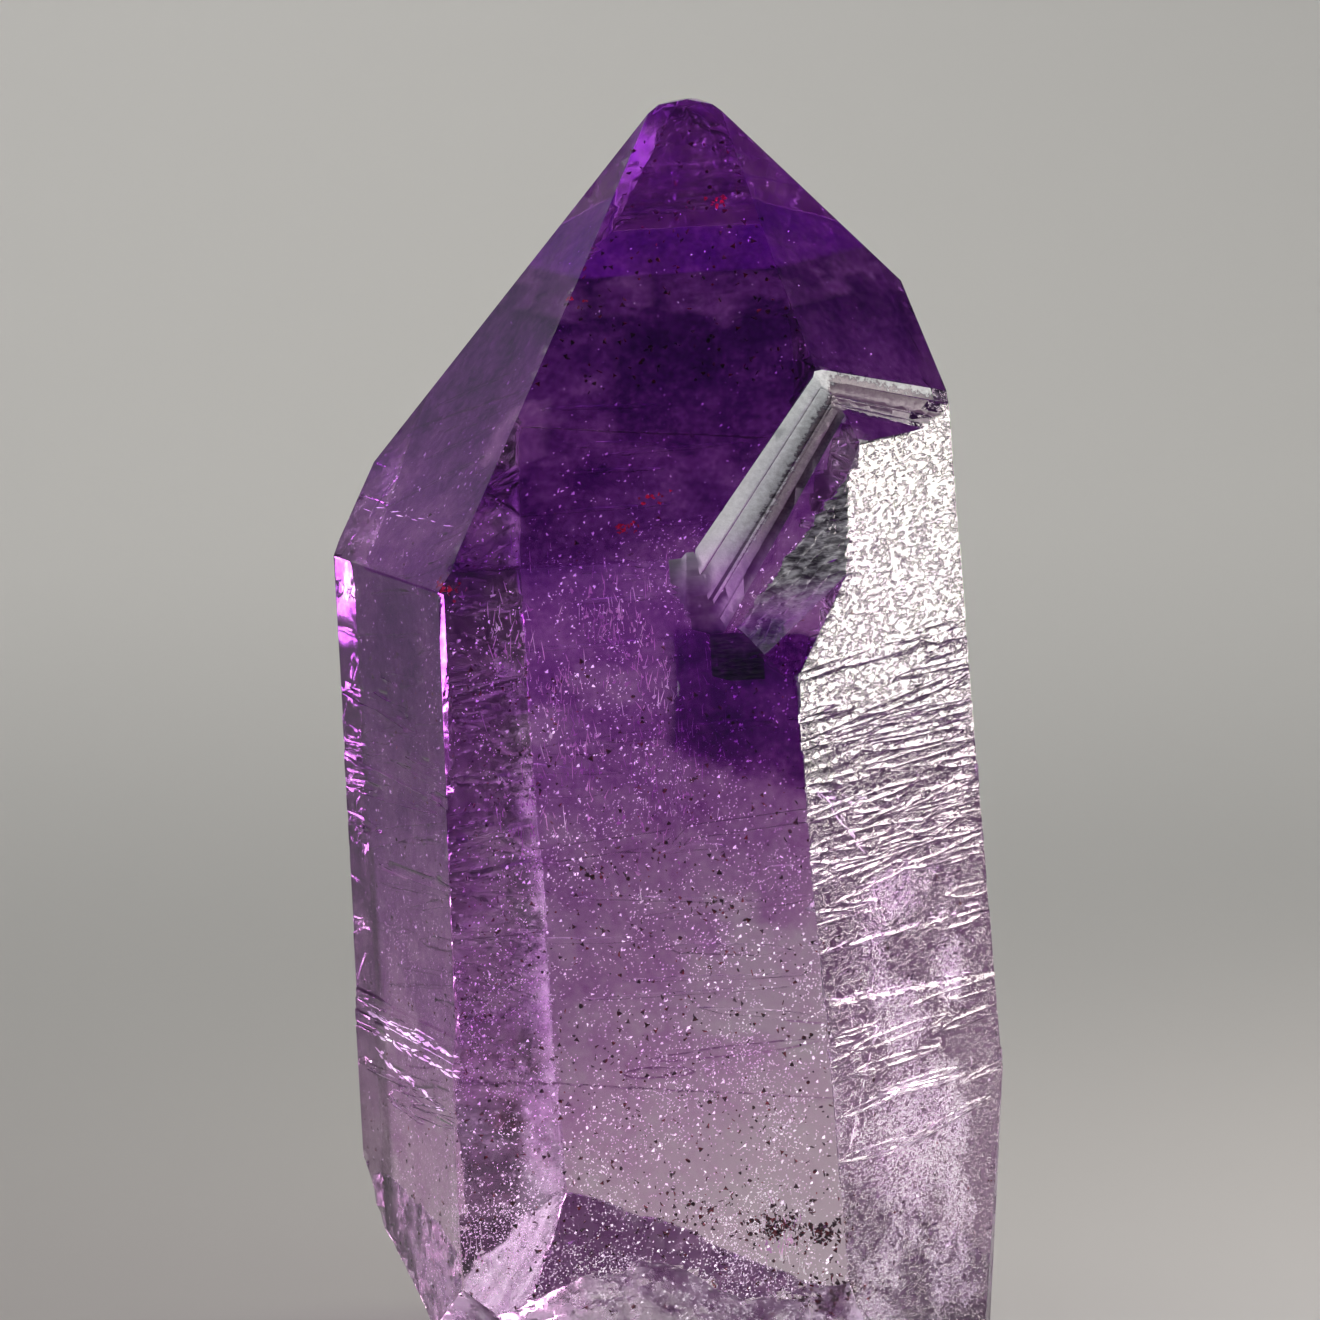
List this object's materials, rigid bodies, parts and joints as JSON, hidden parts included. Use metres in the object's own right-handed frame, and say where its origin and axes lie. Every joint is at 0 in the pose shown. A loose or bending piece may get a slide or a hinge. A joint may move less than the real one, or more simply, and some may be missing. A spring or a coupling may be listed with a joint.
{
  "type": "twinned amethyst crystal",
  "caption": "Violet quartz point with a lower twin point set back behind a silvery ledge; striated prism faces and a flat-cut foot, so it stands on a shelf as a mineral specimen.",
  "frame": {"origin": "middle of the crystal's bounding box, on the flat cut that it rests on", "axes": "+Z along the long axis, up to the taller point; -Y out of the front prism face; the lower twin point is at the front right, +X and -Y"},
  "size_m": [0.0326, 0.0278, 0.0631],
  "materials": {
    "amethyst": "polished natural faces, zoned from deep violet at the tip to pale lavender at the foot"
  },
  "bodies": {
    "root": {"twin_crystal": "amethyst"}
  },
  "joints": []
}
